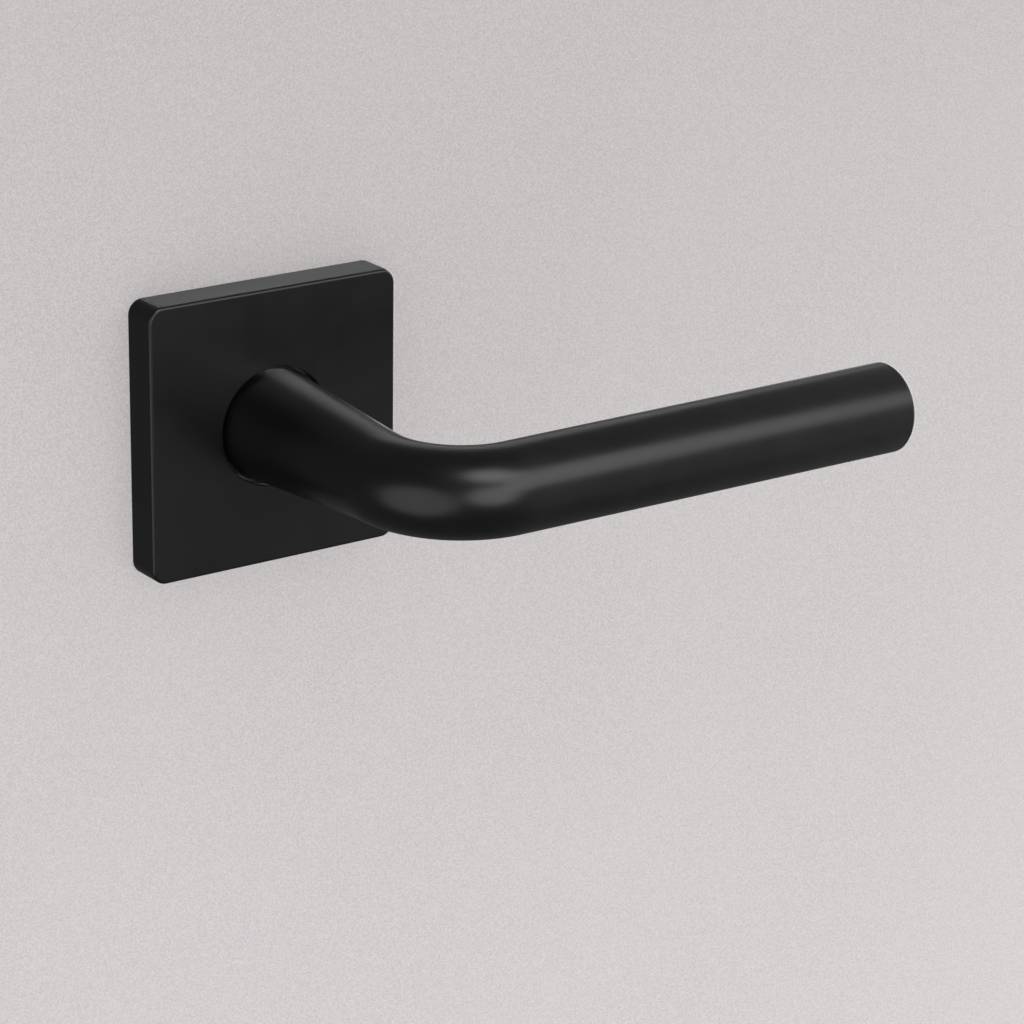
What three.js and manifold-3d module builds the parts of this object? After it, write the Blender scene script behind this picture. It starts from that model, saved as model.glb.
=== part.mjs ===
// Door lever handle on a square rose, the half of a set that sits on one side of the door.
// Millimetres. X runs along the grip, Y points into the door and Z is up. The origin is where the
// turning axis meets the face of the door, so the rose lies between Y = -ROSE_DEPTH and Y = 0.
import * as THREE from "three";
import { mergeVertices } from "three/addons/utils/BufferGeometryUtils.js";
import Module from "manifold-3d";

// ---- driving dimensions ----
const ROSE_SIDE = 55;
const ROSE_DEPTH = 8;
const ROSE_CORNER = 3;
const ROSE_FILLET = 0.65;
const ROSE_WALL = 1.5;
const HOLE_R = 11.85;

const NECK_R = 11.2;
const BEND_BAR_R = 8.75;
const GRIP_END_R = 9;
const GRIP_OUT = 62.5;
const BEND_R = 17;
const GRIP_END_X = 107.5;
const END_FILLET = 1;

const JOURNAL_R = 8;
const JOURNAL_END = 2.6;
const SHOULDER_Y = -6.2;
const FLAT_HALF = 7.4;

const SPINDLE_SIDE = 7.9;
const SPINDLE_FRONT = -33.5;
const SPINDLE_BACK = 50;
const SOCKET_SIDE = 8.2;

const BASE_SIDE = 50.4;
const BASE_THICK = 1.5;
const BASE_CORNER = 2;
const WOOD_SCREW_AT = 18.5;
const WOOD_SCREW_HOLE_R = 2.1;
const GASKET_THICK = 0.45;
const GASKET_HOLE_R = 15.5;
const BOLT_CENTRES = 38;
const BOLT_R = 1.95;
const BOLT_END = 38;
const BOLT_POINT = 0.5;
const BOLT_HEAD_R = 3.3;
const BOLT_HEAD_HEIGHT = 1.9;
const BOLT_HEAD_BEVEL = 0.4;
const BOLT_SOCKET_R = 1.5;
const BOLT_SOCKET_DEPTH = 1.1;
const LUG_R = 3.9;
const LUG_END = 9;
const LUG_NECK_R = 3.1;
const LUG_BEVEL = 0.4;

const CAN_R = 15.4;
const CAN_SHEET = 0.5;
const CAN_BEVEL = 0.6;
const SPRING_R = 12.75;
const SPRING_WIRE = 0.8;
const SPRING_TURNS = 1.75;
const LEG_END_R = 14.5;
const LEG_BEND_R = 13.6;
const TANG_BEND_R = 12;
const TANG_END_R = 11.1;
const TRAVEL = THREE.MathUtils.degToRad(45);

const PIN_R = 0.6;
const STOP_PIN_AT = 10.3;
const ANCHOR_PIN_AT = 14.1;
const FOLLOWER_R = 11.9;
const NOTCH_HALF = 0.7;
const NOTCH_FLOOR = 10.9;
const NOTCH_DEPTH = 1.2;

const RIVET_AT = 17.6;
const RIVET_ANGLES = [90, 210, 330].map(THREE.MathUtils.degToRad);
const RIVET_SHANK_R = 1.1;
const RIVET_HEAD_R = 2.1;
const RIVET_HEAD_HEIGHT = 0.8;
const RIVET_CROWN_R = 1.2;
const EAR_R = 2.7;
const EAR_THICK = 0.6;

const CLIP_SHEET = 0.4;
const CLIP_LENGTH = 8;
const CLIP_RISE = 13;

const NECK_BUSH_R = 9.5;
const REAR_BUSH_R = 9.2;
const BUSH_FLANGE = 0.4;
const BUSH_FLANGE_REACH = 1.6;

const GRUB_Y = -17;
const GRUB_R = 2.5;
const GRUB_HOLE_R = 2.65;
const GRUB_BOTTOM = -9.7;
const GRUB_SOCKET_R = 1.4;
const GRUB_SOCKET_DEPTH = 2;

const WASHER_Y = 0.15;
const WASHER_HOLE_R = 8.3;
const WASHER_R = 10.4;
const WASHER_SHEET = 0.35;
const WASHER_WAVES = 3;
const WASHER_WAVE_HEIGHT = 0.12;
const CIRCLIP_FRONT = 0.75;
const CIRCLIP_BACK = 1.55;
const CIRCLIP_SEAT_R = 7;
const CIRCLIP_R = 9.6;
const CIRCLIP_GAP_HALF = THREE.MathUtils.degToRad(22);
const CIRCLIP_EYE_R = 1.6;
const CIRCLIP_EYE_HOLE_R = 0.6;

const SLIDE_FIT = 0.12; // radial play between parts that turn on each other
const REST_FIT = 0.05; // play between parts that are clamped or bonded together
const HOLE_FIT = 0.1; // radial play round a pin, a rivet or a shoulder
const CUT = 1; // how far a cutting tool runs past the face that it opens

const FINE = 48; // sides of a bearing surface
const COARSE = 24; // sides of a small round part

// ---- derived positions along Y ----
const coverFront = -ROSE_DEPTH;
const coverInner = coverFront + ROSE_WALL;
const baseBack = -GASKET_THICK - REST_FIT;
const baseFront = baseBack - BASE_THICK;
const canFront = coverInner + 1;
const canInner = canFront + CAN_SHEET;
const followerFront = canInner + 0.2;
const followerBack = baseFront - 0.15;

// ---- solids: three.js geometry in and out of manifold-3d ----
const wasm = await Module();
wasm.setup();

function solid(geometry) {
  const bare = geometry.clone();
  bare.deleteAttribute("normal");
  bare.deleteAttribute("uv");
  const merged = mergeVertices(bare, 1e-4);
  return new wasm.Manifold(
    new wasm.Mesh({
      numProp: 3,
      vertProperties: merged.attributes.position.array,
      triVerts: new Uint32Array(merged.index.array),
    }),
  );
}

function geometryOf(body) {
  const mesh = body.getMesh();
  const geometry = new THREE.BufferGeometry();
  geometry.setAttribute("position", new THREE.BufferAttribute(mesh.vertProperties, 3));
  geometry.setIndex(new THREE.BufferAttribute(mesh.triVerts, 1));
  geometry.computeVertexNormals();
  return geometry;
}

const joined = (...bodies) => bodies.reduce((all, body) => all.add(body));
const cutFrom = (body, ...tools) => tools.reduce((left, tool) => left.subtract(tool), body);

// A ring or disc about the Y axis, moved to (x, z). The profile is a closed loop of [radius, y] points,
// listed so that y rises along the outside.
function turned(profile, sides = FINE, x = 0, z = 0) {
  const points = profile.map(([radius, y]) => new THREE.Vector2(radius, y));
  return solid(new THREE.LatheGeometry(points, sides).translate(x, 0, z));
}

function rod(radius, front, back, x = 0, z = 0, sides = COARSE) {
  return turned([[0, front], [radius, front], [radius, back], [0, back]], sides, x, z);
}

function ring(inner, outer, front, back, sides = FINE) {
  return turned([[inner, front], [outer, front], [outer, back], [inner, back], [inner, front]], sides);
}

function block(x0, x1, y0, y1, z0, z1) {
  const box = new THREE.BoxGeometry(x1 - x0, y1 - y0, z1 - z0);
  return solid(box.translate((x0 + x1) / 2, (y0 + y1) / 2, (z0 + z1) / 2));
}

// An outline in X and Z, extruded along Y from front to back. A bevel rounds both ends.
function extruded(shape, front, back, bevel = 0, curveSegments = 8, bevelSegments = 2) {
  const geometry = new THREE.ExtrudeGeometry(shape, {
    depth: back - front - 2 * bevel,
    bevelEnabled: bevel > 0,
    bevelThickness: bevel,
    bevelSize: bevel,
    bevelOffset: -bevel,
    bevelSegments,
    curveSegments,
  });
  return solid(geometry.rotateX(Math.PI / 2).translate(0, back - bevel, 0));
}

function roundedSquare(side, corner) {
  const half = side / 2;
  const inner = half - corner;
  const shape = new THREE.Shape();
  shape.moveTo(-inner, -half);
  shape.lineTo(inner, -half);
  shape.absarc(inner, -inner, corner, -Math.PI / 2, 0);
  shape.absarc(inner, inner, corner, 0, Math.PI / 2);
  shape.absarc(-inner, inner, corner, Math.PI / 2, Math.PI);
  shape.absarc(-inner, -inner, corner, Math.PI, Math.PI * 1.5);
  return shape;
}

const polar = (radius, angle) => [radius * Math.cos(angle), radius * Math.sin(angle)];

// ---- the rose ----
// One shell, open towards the door. Its front edge is rounded all the way round.
function roseCover() {
  const shape = roundedSquare(ROSE_SIDE, ROSE_CORNER);
  const outside = extruded(shape, coverFront, 2 * CUT, ROSE_FILLET, 6, 4);
  const half = ROSE_SIDE / 2;
  const behindDoorFace = block(-half - CUT, half + CUT, 0, 3 * CUT, -half - CUT, half + CUT);
  const cavity = extruded(
    roundedSquare(ROSE_SIDE - 2 * ROSE_WALL, ROSE_CORNER - ROSE_WALL), coverInner, CUT, 0, 4,
  );
  const hole = rod(HOLE_R, coverFront - CUT, coverInner + CUT, 0, 0, FINE);
  return cutFrom(outside, behindDoorFace, cavity, hole);
}

function coverClip() {
  const foot = baseFront - REST_FIT;
  const footStart = 21;
  const outer = [[footStart, foot], [24.9, foot], [25.75, -3.4], [25.1, -5]];
  const inner = [[24.7, -5], [25.3, -3.4], [24.6, foot - CLIP_SHEET], [footStart, foot - CLIP_SHEET]];
  const outline = new THREE.Shape([...outer, ...inner].map(([x, y]) => new THREE.Vector2(x, y)));
  const strip = new THREE.ExtrudeGeometry(outline, { depth: CLIP_LENGTH, bevelEnabled: false });
  return solid(strip.translate(0, 0, -CLIP_LENGTH / 2));
}

// ---- the base plate and what is fixed to it ----
function basePlate() {
  const plate = extruded(roundedSquare(BASE_SIDE, BASE_CORNER), baseFront, baseBack, 0, 3);
  const hole = (radius, [x, z], sides) => rod(radius, baseFront - CUT, baseBack + CUT, x, z, sides);
  const signs = [-1, 1];
  return cutFrom(
    plate,
    hole(REAR_BUSH_R + REST_FIT, [0, 0], FINE),
    ...signs.map((side) => hole(LUG_NECK_R + REST_FIT, [(side * BOLT_CENTRES) / 2, 0], COARSE)),
    ...signs.flatMap((x) => signs.map((z) =>
      hole(WOOD_SCREW_HOLE_R, [x * WOOD_SCREW_AT, z * WOOD_SCREW_AT], 20))),
    ...pinPlaces().map((place) => hole(PIN_R + HOLE_FIT, place, 12)),
    ...RIVET_ANGLES.map((angle) => hole(RIVET_SHANK_R + HOLE_FIT, polar(RIVET_AT, angle), 16)),
  );
}

// A sleeve staked into the base plate: it locates the rose in the door and the bolt runs through it.
function boltLug(side) {
  const bore = BOLT_R + 0.2;
  const shoulder = baseBack + REST_FIT;
  return turned([
    [bore, baseFront], [LUG_NECK_R, baseFront], [LUG_NECK_R, shoulder], [LUG_R, shoulder],
    [LUG_R, LUG_END - LUG_BEVEL], [LUG_R - LUG_BEVEL, LUG_END], [bore, LUG_END], [bore, baseFront],
  ], COARSE, (side * BOLT_CENTRES) / 2);
}

function doorGasket() {
  const sheet = extruded(roundedSquare(BASE_SIDE - 1, BASE_CORNER), -GASKET_THICK, 0, 0, 3);
  const lugHoles = [-1, 1].map((side) =>
    rod(LUG_R + 0.3, -CUT, CUT, (side * BOLT_CENTRES) / 2, 0));
  return cutFrom(sheet, rod(GASKET_HOLE_R, -CUT, CUT, 0, 0, FINE), ...lugHoles);
}

// A drawn cup with three ears, riveted to the base plate.
function springCan() {
  const rim = baseFront - REST_FIT;
  const hole = NECK_BUSH_R + REST_FIT;
  const can = turned([
    [hole, canFront], [CAN_R - CAN_BEVEL, canFront], [CAN_R, canFront + CAN_BEVEL], [CAN_R, rim],
    [CAN_R - CAN_SHEET, rim], [CAN_R - CAN_SHEET, canInner], [hole, canInner], [hole, canFront],
  ]);
  const bore = rod(CAN_R - CAN_SHEET, rim - EAR_THICK - CUT, rim + CUT, 0, 0, FINE);
  const ears = RIVET_ANGLES.map((angle) => {
    const [x, z] = polar(RIVET_AT, angle);
    const disc = rod(EAR_R, rim - EAR_THICK, rim, x, z);
    return cutFrom(disc, rod(RIVET_SHANK_R + HOLE_FIT, rim - EAR_THICK - CUT, rim + CUT, x, z, 16), bore);
  });
  return joined(can, ...ears);
}

function canRivet(angle) {
  const [x, z] = polar(RIVET_AT, angle);
  const seat = baseFront - REST_FIT - EAR_THICK - REST_FIT;
  const top = seat - RIVET_HEAD_HEIGHT;
  const end = baseBack - 0.2;
  const profile = [
    [0, top], [RIVET_CROWN_R, top], [RIVET_HEAD_R, seat - 0.3], [RIVET_HEAD_R, seat],
    [RIVET_SHANK_R, seat], [RIVET_SHANK_R, end], [0, end],
  ];
  return turned(profile, 16, x, z);
}

// The stop pin stands at the top of the follower's slot, the anchor pin beside the spring's fixed leg.
const fixedLegAngle = Math.PI;
const anchorAngle = fixedLegAngle - (SPRING_WIRE / 2 + PIN_R + 4 * REST_FIT) / ANCHOR_PIN_AT;
const pinPlaces = () => [polar(STOP_PIN_AT, Math.PI / 2), polar(ANCHOR_PIN_AT, anchorAngle)];

const pin = ([x, z]) => rod(PIN_R, followerFront, baseBack - 0.1, x, z, 16);

function neckBush() {
  const flange = SHOULDER_Y + HOLE_FIT;
  const flangeR = HOLE_R - 0.3;
  const step = canFront - HOLE_FIT;
  const inner = JOURNAL_R + SLIDE_FIT;
  return turned([
    [inner, flange], [flangeR, flange], [flangeR, step], [NECK_BUSH_R, step],
    [NECK_BUSH_R, canInner], [inner, canInner], [inner, flange],
  ]);
}

function rearBush() {
  const inner = JOURNAL_R + SLIDE_FIT;
  const flange = baseBack + REST_FIT;
  const flangeR = REAR_BUSH_R + BUSH_FLANGE_REACH;
  return turned([
    [inner, baseFront], [REAR_BUSH_R, baseFront], [REAR_BUSH_R, flange], [flangeR, flange],
    [flangeR, flange + BUSH_FLANGE], [inner, flange + BUSH_FLANGE], [inner, baseFront],
  ]);
}

function throughBolt(side) {
  const x = (side * BOLT_CENTRES) / 2;
  const seat = baseFront - REST_FIT;
  const top = seat - BOLT_HEAD_HEIGHT;
  const bolt = turned([
    [0, top], [BOLT_HEAD_R - BOLT_HEAD_BEVEL, top], [BOLT_HEAD_R, top + BOLT_HEAD_BEVEL],
    [BOLT_HEAD_R, seat], [BOLT_R, seat],
    [BOLT_R, BOLT_END - BOLT_POINT], [BOLT_R - BOLT_POINT, BOLT_END], [0, BOLT_END],
  ], COARSE, x);
  return cutFrom(bolt, rod(BOLT_SOCKET_R, top - CUT, top + BOLT_SOCKET_DEPTH, x, 0, 6));
}

// ---- the return spring ----
function returnSpring() {
  const wireBack = baseFront - 0.2 - SPRING_WIRE / 2;
  const wireFront = followerFront + SPRING_WIRE / 2;
  const stepsPerTurn = 24;
  const steps = SPRING_TURNS * stepsPerTurn;
  const points = [];
  const at = (radius, angle, y) => {
    const [x, z] = polar(radius, angle);
    points.push(new THREE.Vector3(x, y, z));
  };
  at(LEG_END_R, fixedLegAngle, wireBack);
  at(LEG_BEND_R, fixedLegAngle, wireBack);
  for (let step = 1; step < steps; step += 1) {
    const share = step / steps;
    const angle = fixedLegAngle - share * SPRING_TURNS * 2 * Math.PI;
    at(SPRING_R, angle, wireBack + share * (wireFront - wireBack));
  }
  const tangAngle = fixedLegAngle - SPRING_TURNS * 2 * Math.PI;
  at(TANG_BEND_R, tangAngle, wireFront);
  at(TANG_END_R, tangAngle, wireFront);
  const section = new THREE.Shape().absarc(0, 0, SPRING_WIRE / 2, 0, 2 * Math.PI);
  const path = new THREE.CatmullRomCurve3(points);
  const wire = new THREE.ExtrudeGeometry(section, {
    steps: 2 * steps, curveSegments: 4, bevelEnabled: false, extrudePath: path,
  });
  return solid(wire);
}

// ---- the parts that turn ----

// Rings of the bar from the journal's end to the grip's end: centre, direction and radius at each.
function barStations() {
  const stations = [];
  const alongY = (y, radius) => stations.push({ x: 0, y, turn: 0, radius });
  const alongX = (x, radius) => stations.push({ x, y: -GRIP_OUT, turn: Math.PI / 2, radius });
  alongY(JOURNAL_END, JOURNAL_R - 0.5);
  alongY(JOURNAL_END - 0.5, JOURNAL_R);
  alongY(SHOULDER_Y, JOURNAL_R);
  alongY(SHOULDER_Y, NECK_R);
  const bendStart = -(GRIP_OUT - BEND_R);
  const taperSteps = 8;
  for (let step = 1; step <= taperSteps; step += 1) {
    const share = step / taperSteps;
    const radius = NECK_R + share * (BEND_BAR_R - NECK_R);
    alongY(SHOULDER_Y + share * (bendStart - SHOULDER_Y), radius);
  }
  const bendSteps = 14;
  for (let step = 1; step <= bendSteps; step += 1) {
    const turn = (step / bendSteps) * (Math.PI / 2);
    stations.push({
      x: BEND_R * (1 - Math.cos(turn)),
      y: bendStart - BEND_R * Math.sin(turn),
      turn,
      radius: BEND_BAR_R,
    });
  }
  const filletSteps = 4;
  for (let step = 0; step <= filletSteps; step += 1) {
    const angle = (step / filletSteps) * (Math.PI / 2);
    alongX(
      GRIP_END_X - END_FILLET * (1 - Math.sin(angle)),
      GRIP_END_R - END_FILLET * (1 - Math.cos(angle)),
    );
  }
  return stations;
}

// A cylinder geometry bent onto the stations: its rows become the rings of the bar.
function bentBar(stations, sides) {
  const rows = stations.length - 1;
  const bar = new THREE.CylinderGeometry(1, 1, rows, sides, rows);
  const place = bar.attributes.position;
  for (let i = 0; i < place.count; i += 1) {
    const station = stations[Math.round(rows / 2 - place.getY(i))];
    const across = place.getX(i) * station.radius;
    const x = station.x + across * Math.cos(station.turn);
    const y = station.y + across * Math.sin(station.turn);
    place.setXYZ(i, x, y, place.getZ(i) * station.radius);
  }
  return solid(bar);
}

// A rod along Z, for the grub screw and its hole.
function uprightRod(radius, z0, z1, sides = COARSE) {
  const geometry = new THREE.CylinderGeometry(radius, radius, z1 - z0, sides);
  return solid(geometry.rotateX(Math.PI / 2).translate(0, GRUB_Y, (z0 + z1) / 2));
}

function lever() {
  const bar = bentBar(barStations(), 36);
  const socket = SOCKET_SIDE / 2;
  const bore = block(-socket, socket, SPINDLE_FRONT - 0.5, JOURNAL_END + CUT, -socket, socket);
  const flats = [-1, 1].map((side) => {
    const z = [side * FLAT_HALF, side * (JOURNAL_R + CUT)].sort((a, b) => a - b);
    return block(-JOURNAL_R - CUT, JOURNAL_R + CUT, followerFront - 0.1, JOURNAL_END + CUT, z[0], z[1]);
  });
  const groove = ring(CIRCLIP_SEAT_R, JOURNAL_R + CUT, CIRCLIP_FRONT - 0.1, CIRCLIP_BACK + 0.1);
  const grubHole = uprightRod(GRUB_HOLE_R, -NECK_R - CUT, -socket + 0.5);
  return cutFrom(bar, bore, ...flats, groove, grubHole);
}

function follower() {
  const outer = FOLLOWER_R;
  const bore = cutFrom(
    rod(JOURNAL_R + SLIDE_FIT, followerFront - CUT, followerBack + CUT, 0, 0, FINE),
    ...[-1, 1].map((side) => {
      const z = [side * (FLAT_HALF + SLIDE_FIT), side * 2 * JOURNAL_R].sort((a, b) => a - b);
      return block(-outer, outer, followerFront - 2 * CUT, followerBack + 2 * CUT, z[0], z[1]);
    }),
  );
  const body = rod(outer, followerFront, followerBack, 0, 0, FINE);
  const notchBack = followerFront + NOTCH_DEPTH;
  const notch = block(-NOTCH_HALF, NOTCH_HALF, followerFront - CUT, notchBack, -outer - CUT, -NOTCH_FLOOR);
  return cutFrom(body, bore, stopSlot(), notch);
}

// The arc slot that the stop pin runs in: it starts at the pin and reaches TRAVEL further round.
function stopSlot() {
  const half = PIN_R + 0.15;
  const slack = 0.1 / STOP_PIN_AT;
  const from = Math.PI / 2 - slack;
  const to = from + TRAVEL + 2 * slack;
  const shape = new THREE.Shape();
  shape.absarc(0, 0, STOP_PIN_AT + half, from, to, false);
  shape.absarc(...polar(STOP_PIN_AT, to), half, to, to + Math.PI, false);
  shape.absarc(0, 0, STOP_PIN_AT - half, to, from, true);
  shape.absarc(...polar(STOP_PIN_AT, from), half, from + Math.PI, from + 2 * Math.PI, false);
  return extruded(shape, followerFront - CUT, followerBack + CUT, 0, 6);
}

// A flat ring whose faces rise and fall three times round it.
function waveWasher() {
  const back = WASHER_Y + WASHER_SHEET;
  const profile = [
    [WASHER_HOLE_R, WASHER_Y], [WASHER_R, WASHER_Y], [WASHER_R, back], [WASHER_HOLE_R, back],
    [WASHER_HOLE_R, WASHER_Y],
  ];
  const washer = new THREE.LatheGeometry(profile.map(([radius, y]) => new THREE.Vector2(radius, y)), 36);
  const place = washer.attributes.position;
  for (let i = 0; i < place.count; i += 1) {
    const angle = Math.atan2(place.getZ(i), place.getX(i));
    place.setY(i, place.getY(i) + WASHER_WAVE_HEIGHT * Math.cos(WASHER_WAVES * angle));
  }
  return solid(washer);
}

function circlip() {
  const seat = CIRCLIP_SEAT_R + 0.15;
  const shape = new THREE.Shape();
  const start = -Math.PI / 2 + CIRCLIP_GAP_HALF;
  const end = 1.5 * Math.PI - CIRCLIP_GAP_HALF;
  shape.absarc(0, 0, CIRCLIP_R, start, end, false);
  shape.absarc(0, 0, seat, end, start, true);
  const openRing = extruded(shape, CIRCLIP_FRONT, CIRCLIP_BACK, 0, 36);
  const ears = [start, end].map((angle) => {
    const [x, z] = polar(CIRCLIP_R, angle);
    const disc = rod(CIRCLIP_EYE_R, CIRCLIP_FRONT, CIRCLIP_BACK, x, z, 20);
    return cutFrom(disc, rod(JOURNAL_R + SLIDE_FIT, CIRCLIP_FRONT - CUT, CIRCLIP_BACK + CUT, 0, 0, FINE));
  });
  const holes = [start, end].map((angle) => {
    const [x, z] = polar(CIRCLIP_R, angle);
    return rod(CIRCLIP_EYE_HOLE_R, CIRCLIP_FRONT - CUT, CIRCLIP_BACK + CUT, x, z, 12);
  });
  return cutFrom(joined(openRing, ...ears), ...holes);
}

function spindle() {
  const half = SPINDLE_SIDE / 2;
  const shape = new THREE.Shape([
    new THREE.Vector2(-half, -half),
    new THREE.Vector2(half, -half),
    new THREE.Vector2(half, half),
    new THREE.Vector2(-half, half),
  ]);
  return extruded(shape, SPINDLE_FRONT, SPINDLE_BACK, 0.5);
}

function grubScrew() {
  const top = -SPINDLE_SIDE / 2 - 0.1;
  const socket = uprightRod(GRUB_SOCKET_R, GRUB_BOTTOM - CUT, GRUB_BOTTOM + GRUB_SOCKET_DEPTH, 6);
  return cutFrom(uprightRod(GRUB_R, GRUB_BOTTOM, top), socket);
}

// ---- finishes ----
const finish = (color, roughness, metalness) =>
  new THREE.MeshStandardMaterial({ color, roughness, metalness });
const matteBlack = () => finish(0x1b1b1c, 0.45, 0.3);
const nylon = () => finish(0x0c0c0d, 0.6, 0);
const zinced = () => finish(0xb4b8bc, 0.35, 1);
const springSteel = () => finish(0x6d7074, 0.3, 1);
const foam = () => finish(0x2a2a2b, 0.95, 0);

function node(name, body, material) {
  const mesh = new THREE.Mesh(geometryOf(body), material);
  mesh.name = name;
  return mesh;
}

// ---- the assembly ----
function turningParts() {
  const group = new THREE.Group();
  group.add(
    node("lever", lever(), matteBlack()),
    node("follower", follower(), zinced()),
    node("wave_washer", waveWasher(), springSteel()),
    node("circlip", circlip(), springSteel()),
    node("spindle", spindle(), zinced()),
    node("grub_screw", grubScrew(), springSteel()),
  );
  return group;
}

function fixedParts() {
  const group = new THREE.Group();
  const [stopPlace, anchorPlace] = pinPlaces();
  group.add(
    node("rose_cover", roseCover(), matteBlack()),
    node("neck_bush", neckBush(), nylon()),
    node("rear_bush", rearBush(), nylon()),
    node("spring_can", springCan(), zinced()),
    node("return_spring", returnSpring(), springSteel()),
    node("stop_pin", pin(stopPlace), springSteel()),
    node("spring_anchor_pin", pin(anchorPlace), springSteel()),
    node("base_plate", basePlate(), zinced()),
    node("door_gasket", doorGasket(), foam()),
    node("bolt_lug_left", boltLug(-1), zinced()),
    node("bolt_lug_right", boltLug(1), zinced()),
    node("through_bolt_left", throughBolt(-1), zinced()),
    node("through_bolt_right", throughBolt(1), zinced()),
  );
  RIVET_ANGLES.forEach((angle, index) => {
    group.add(node(`can_rivet_${index + 1}`, canRivet(angle), zinced()));
  });
  for (const [side, turn] of [["right", 0], ["left", Math.PI]]) {
    for (const [level, rise] of [["upper", CLIP_RISE], ["lower", -CLIP_RISE]]) {
      const clip = node(`cover_clip_${side}_${level}`, coverClip(), springSteel());
      clip.rotation.y = turn;
      clip.position.z = rise;
      group.add(clip);
    }
  }
  return group;
}

const handle = new THREE.Group();
handle.add(fixedParts(), turningParts());

export default handle;
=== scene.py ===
"""Door lever handle on a square rose: its fine surfaces and finishes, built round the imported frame.

Shapes are written in millimetres and turned into metres when a mesh is made. X runs along the
grip, Y points into the door and Z is up, as in the frame.
"""

import math

import bmesh
import bpy
import numpy as np
from mathutils import Matrix, Vector


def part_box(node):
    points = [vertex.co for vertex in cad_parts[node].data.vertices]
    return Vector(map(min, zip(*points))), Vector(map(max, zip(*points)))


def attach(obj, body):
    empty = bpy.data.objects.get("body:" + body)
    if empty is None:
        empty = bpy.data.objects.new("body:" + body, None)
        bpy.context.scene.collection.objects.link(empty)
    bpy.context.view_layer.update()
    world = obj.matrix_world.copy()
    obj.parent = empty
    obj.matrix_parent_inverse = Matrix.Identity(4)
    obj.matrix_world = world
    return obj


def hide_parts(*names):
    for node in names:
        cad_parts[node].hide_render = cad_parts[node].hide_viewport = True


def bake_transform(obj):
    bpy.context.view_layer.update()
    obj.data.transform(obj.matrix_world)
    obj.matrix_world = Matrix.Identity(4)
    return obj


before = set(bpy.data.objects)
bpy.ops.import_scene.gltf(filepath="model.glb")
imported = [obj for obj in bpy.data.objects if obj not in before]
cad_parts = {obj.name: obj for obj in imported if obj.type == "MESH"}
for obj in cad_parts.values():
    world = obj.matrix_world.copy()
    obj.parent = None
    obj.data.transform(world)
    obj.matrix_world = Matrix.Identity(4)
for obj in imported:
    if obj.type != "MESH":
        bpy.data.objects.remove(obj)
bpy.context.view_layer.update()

MM = 0.001
TURN = 2 * math.pi


def extent(node):
    """Lowest and highest corner of a CAD node, in millimetres."""
    low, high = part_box(node)
    return low / MM, high / MM


# ---- sizes from the frame ----
COVER_LOW, COVER_HIGH = extent("rose_cover")
LEVER_LOW, LEVER_HIGH = extent("lever")
BASE_LOW, BASE_HIGH = extent("base_plate")
GASKET_LOW, GASKET_HIGH = extent("door_gasket")
CAN_LOW, CAN_HIGH = extent("spring_can")
FOLLOWER_LOW, FOLLOWER_HIGH = extent("follower")
SPINDLE_LOW, SPINDLE_HIGH = extent("spindle")
CIRCLIP_LOW, CIRCLIP_HIGH = extent("circlip")
WASHER_LOW, WASHER_HIGH = extent("wave_washer")
NECK_BUSH_LOW, NECK_BUSH_HIGH = extent("neck_bush")
REAR_BUSH_LOW, REAR_BUSH_HIGH = extent("rear_bush")
LUG_LOW, LUG_HIGH = extent("bolt_lug_right")
BOLT_LOW, BOLT_HIGH = extent("through_bolt_right")
GRUB_LOW, GRUB_HIGH = extent("grub_screw")
SPRING_LOW, SPRING_HIGH = extent("return_spring")
STOP_PIN_LOW, STOP_PIN_HIGH = extent("stop_pin")
ANCHOR_PIN_LOW, ANCHOR_PIN_HIGH = extent("spring_anchor_pin")

ROSE_SIDE = COVER_HIGH.x - COVER_LOW.x
ROSE_CORNER = 3
ROSE_FILLET = 0.65
ROSE_BACK_EDGE = 0.15
HOLE_EDGE = 0.25
ROSE_WALL = 1.5
HOLE_R = 11.85

NECK_R = LEVER_HIGH.z
GRIP_END_R = 9
BEND_BAR_R = 8.75
BEND_R = 17
GRIP_OUT = -LEVER_LOW.y - GRIP_END_R
GRIP_END_X = LEVER_HIGH.x
END_FILLET = 1
SHOULDER_Y = -6.2
JOURNAL_R = 8
JOURNAL_CHAMFER = 0.5
FLAT_HALF = 7.4
SOCKET_HALF = 4.1
SOCKET_END = SPINDLE_LOW.y - 0.5

BOLT_AT = (BOLT_LOW.x + BOLT_HIGH.x) / 2
GRUB_Y = (GRUB_LOW.y + GRUB_HIGH.y) / 2
GRUB_R = (GRUB_HIGH.x - GRUB_LOW.x) / 2
GRUB_HOLE_R = GRUB_R + 0.15
WIRE_R = 0.4
SPRING_R = 12.75
SPRING_TURNS = 1.75
SLIDE_FIT = 0.12
RIVET_AT = 17.6
RIVET_ANGLES = [math.radians(degrees) for degrees in (90, 210, 330)]
RIVET_SHANK_R = 1.1
SCREW_AT = 18.5
SCREW_HOLE_R = 2.1
PLATE_CORNER = 2
NECK_BUSH_R = 9.5
REAR_BUSH_R = 9.2
LUG_NECK_R = 3.1
GASKET_HOLE_R = 15.5
CAN_R = 15.4
CAN_SHEET = 0.5
EAR_R = 2.7
EAR_THICK = 0.6
CLIP_SHEET = 0.4
NOTCH_HALF = 0.7
NOTCH_FLOOR = 10.9
WASHER_HOLE_R = 8.3
GROOVE_R = 7.0
CIRCLIP_R = 9.6
CIRCLIP_GAP_HALF = math.radians(22)
CIRCLIP_EYE_R = 1.6
CIRCLIP_EYE_HOLE_R = 0.6
SPARE = 0.05
HOLE_FIT = 0.1
OUTWARD_Y = -1


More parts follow.
